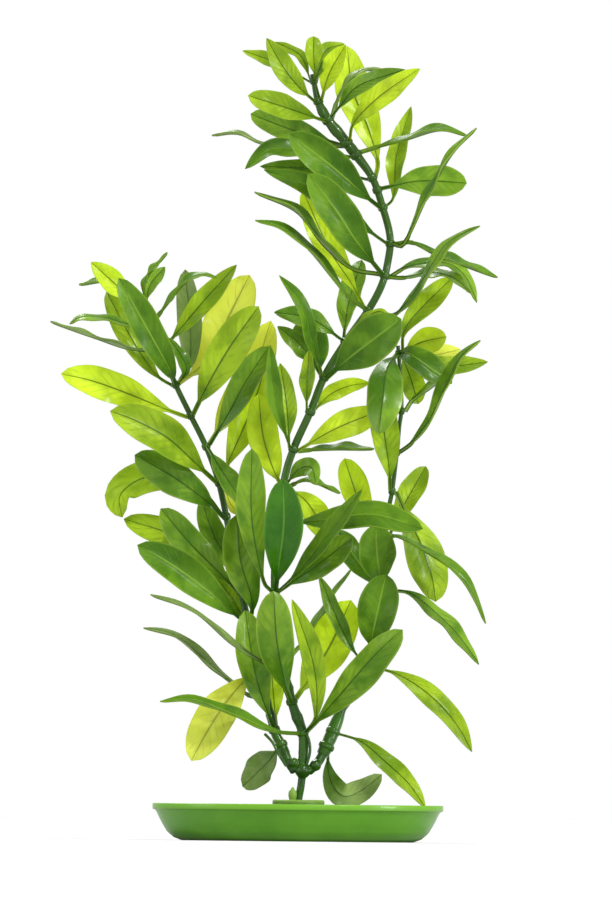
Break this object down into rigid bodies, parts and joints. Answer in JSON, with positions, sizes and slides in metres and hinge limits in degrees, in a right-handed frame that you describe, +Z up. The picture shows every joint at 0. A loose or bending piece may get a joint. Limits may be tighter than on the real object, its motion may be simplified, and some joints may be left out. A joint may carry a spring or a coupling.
{
  "type": "artificial potted hygrophila",
  "caption": "Artificial hygrophila aquarium plant: leafy moulded plastic stems clipped into a shallow oval dish that stands on its flat foot.",
  "frame": {"origin": "middle of the flat foot under the dish, where it rests on the surface", "axes": "+Z up the plant; +X to the right and +Y away from the viewer, as the plant is seen in the picture"},
  "size_m": [0.1663, 0.0842, 0.3],
  "materials": {
    "dish": "satin moulded green plastic, faint flow marks, lighter at the rim",
    "hub": "satin moulded green plastic, paler than the dish",
    "stem": "glossy dark bottle green plastic",
    "leaf": "thin translucent green plastic, bright yellow-green where light shines through, dark green where it does not, with a raised midrib and faint side veins"
  },
  "bodies": {
    "root": {"dish": "dish", "hub_clip": "hub", "root_crown": "stem", "centre_stem": "stem", "left_stem": "stem", "right_stem": "stem", "centre_leaves_1": "leaf", "centre_leaves_2": "leaf", "centre_leaves_3": "leaf", "centre_leaves_4": "leaf", "centre_leaves_5": "leaf", "centre_leaves_6": "leaf", "centre_leaves_7": "leaf", "centre_leaves_8": "leaf", "centre_leaves_9": "leaf", "centre_leaves_10": "leaf", "centre_leaves_11": "leaf", "centre_leaves_12": "leaf", "centre_leaves_13": "leaf", "centre_leaves_14": "leaf", "centre_leaves_15": "leaf", "centre_leaves_16": "leaf", "centre_leaves_17": "leaf", "centre_leaves_18": "leaf", "centre_leaves_19": "leaf", "centre_leaves_20": "leaf", "centre_leaves_21": "leaf", "left_leaves_1": "leaf", "left_leaves_2": "leaf", "left_leaves_3": "leaf", "left_leaves_4": "leaf", "left_leaves_5": "leaf", "left_leaves_6": "leaf", "left_leaves_7": "leaf", "left_leaves_8": "leaf", "left_leaves_9": "leaf", "left_leaves_10": "leaf", "left_leaves_11": "leaf", "left_leaves_12": "leaf", "left_leaves_13": "leaf", "right_leaves_1": "leaf", "right_leaves_2": "leaf", "right_leaves_3": "leaf", "right_leaves_4": "leaf", "right_leaves_5": "leaf", "right_leaves_6": "leaf", "right_leaves_7": "leaf", "right_leaves_8": "leaf", "right_leaves_9": "leaf", "right_leaves_10": "leaf"}
  },
  "joints": []
}
